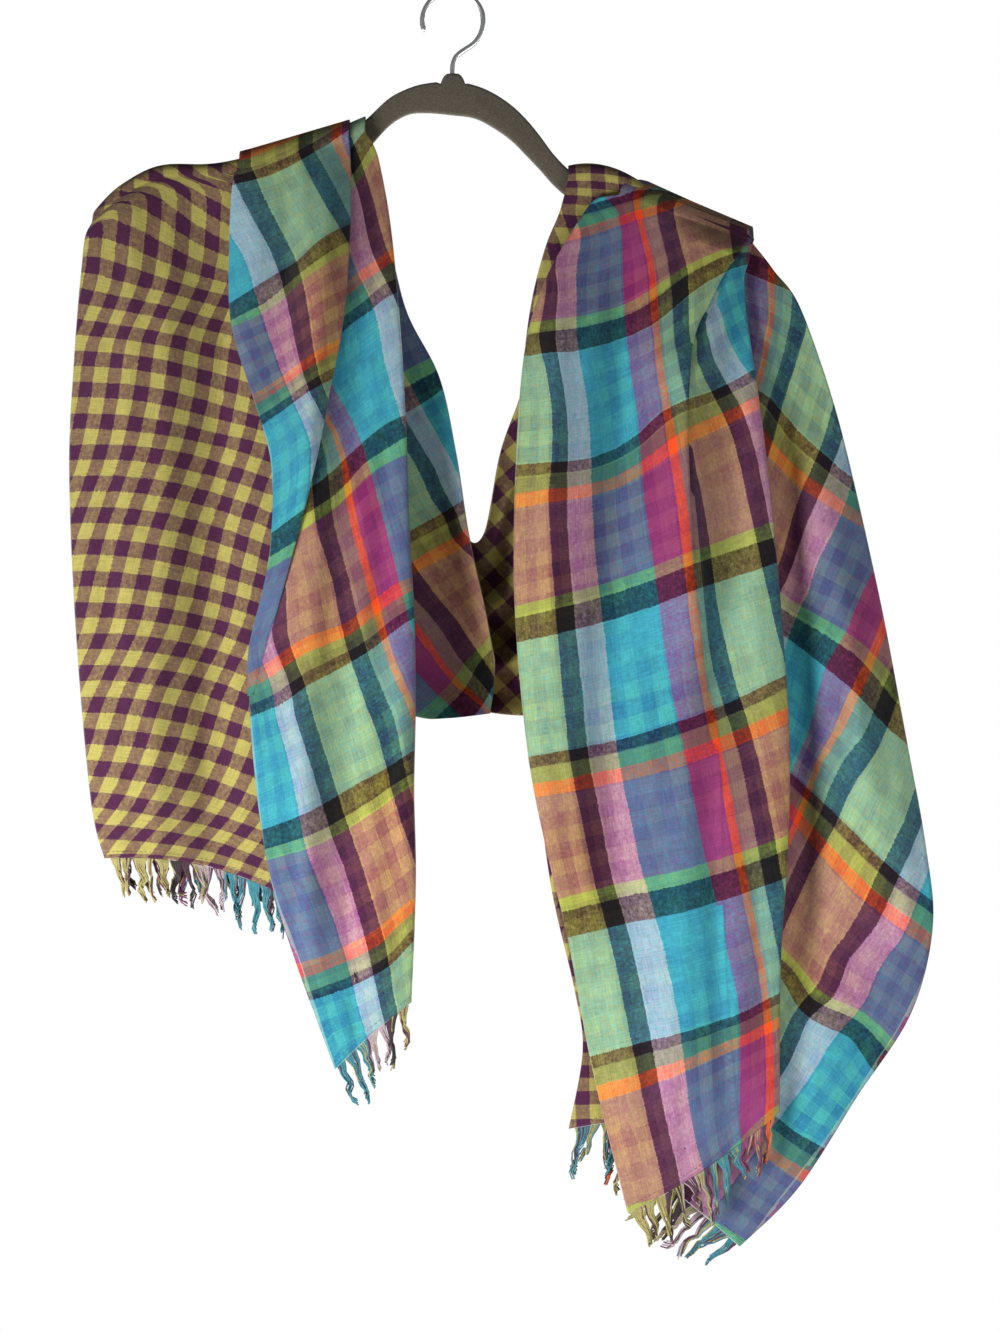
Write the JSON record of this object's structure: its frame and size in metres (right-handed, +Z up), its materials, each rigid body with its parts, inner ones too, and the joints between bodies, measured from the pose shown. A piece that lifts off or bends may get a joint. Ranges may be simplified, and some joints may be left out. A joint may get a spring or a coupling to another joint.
{
  "type": "plaid scarf on a clothes hanger",
  "caption": "Long fringed double-faced cotton scarf, plaid on one side and gingham on the other, worn shawl-fashion round a flocked clothes hanger with a wire hook",
  "frame": {"origin": "top of the inside of the hanger's hook, where a rail carries it", "axes": "+X to the viewer's right across the hanger, +Y from the front of the hanger to its back, +Z up"},
  "size_m": [0.5596, 0.0945, 0.8251],
  "materials": {
    "plaid_face": "matte",
    "gingham_face": "matte",
    "fringe_yarn": "matte",
    "hanger_flock": "flocked, matte",
    "hook_wire": "polished"
  },
  "bodies": {
    "root": {"hanger_body": "hanger_flock", "hook": "hook_wire", "left_inner_panel": "gingham_face", "left_gingham_panel": "gingham_face", "left_plaid_panel": "plaid_face", "left_plaid_flap": "plaid_face", "right_inner_panel": "gingham_face", "right_front_panel": "plaid_face", "right_back_panel": "plaid_face", "swag_left": "plaid_face", "back_drape": "plaid_face", "fringe_left_inner": "fringe_yarn", "fringe_left_gingham": "fringe_yarn", "fringe_left_plaid": "fringe_yarn", "fringe_right_inner": "fringe_yarn", "fringe_right_front": "fringe_yarn", "fringe_right_back": "fringe_yarn"}
  },
  "joints": []
}
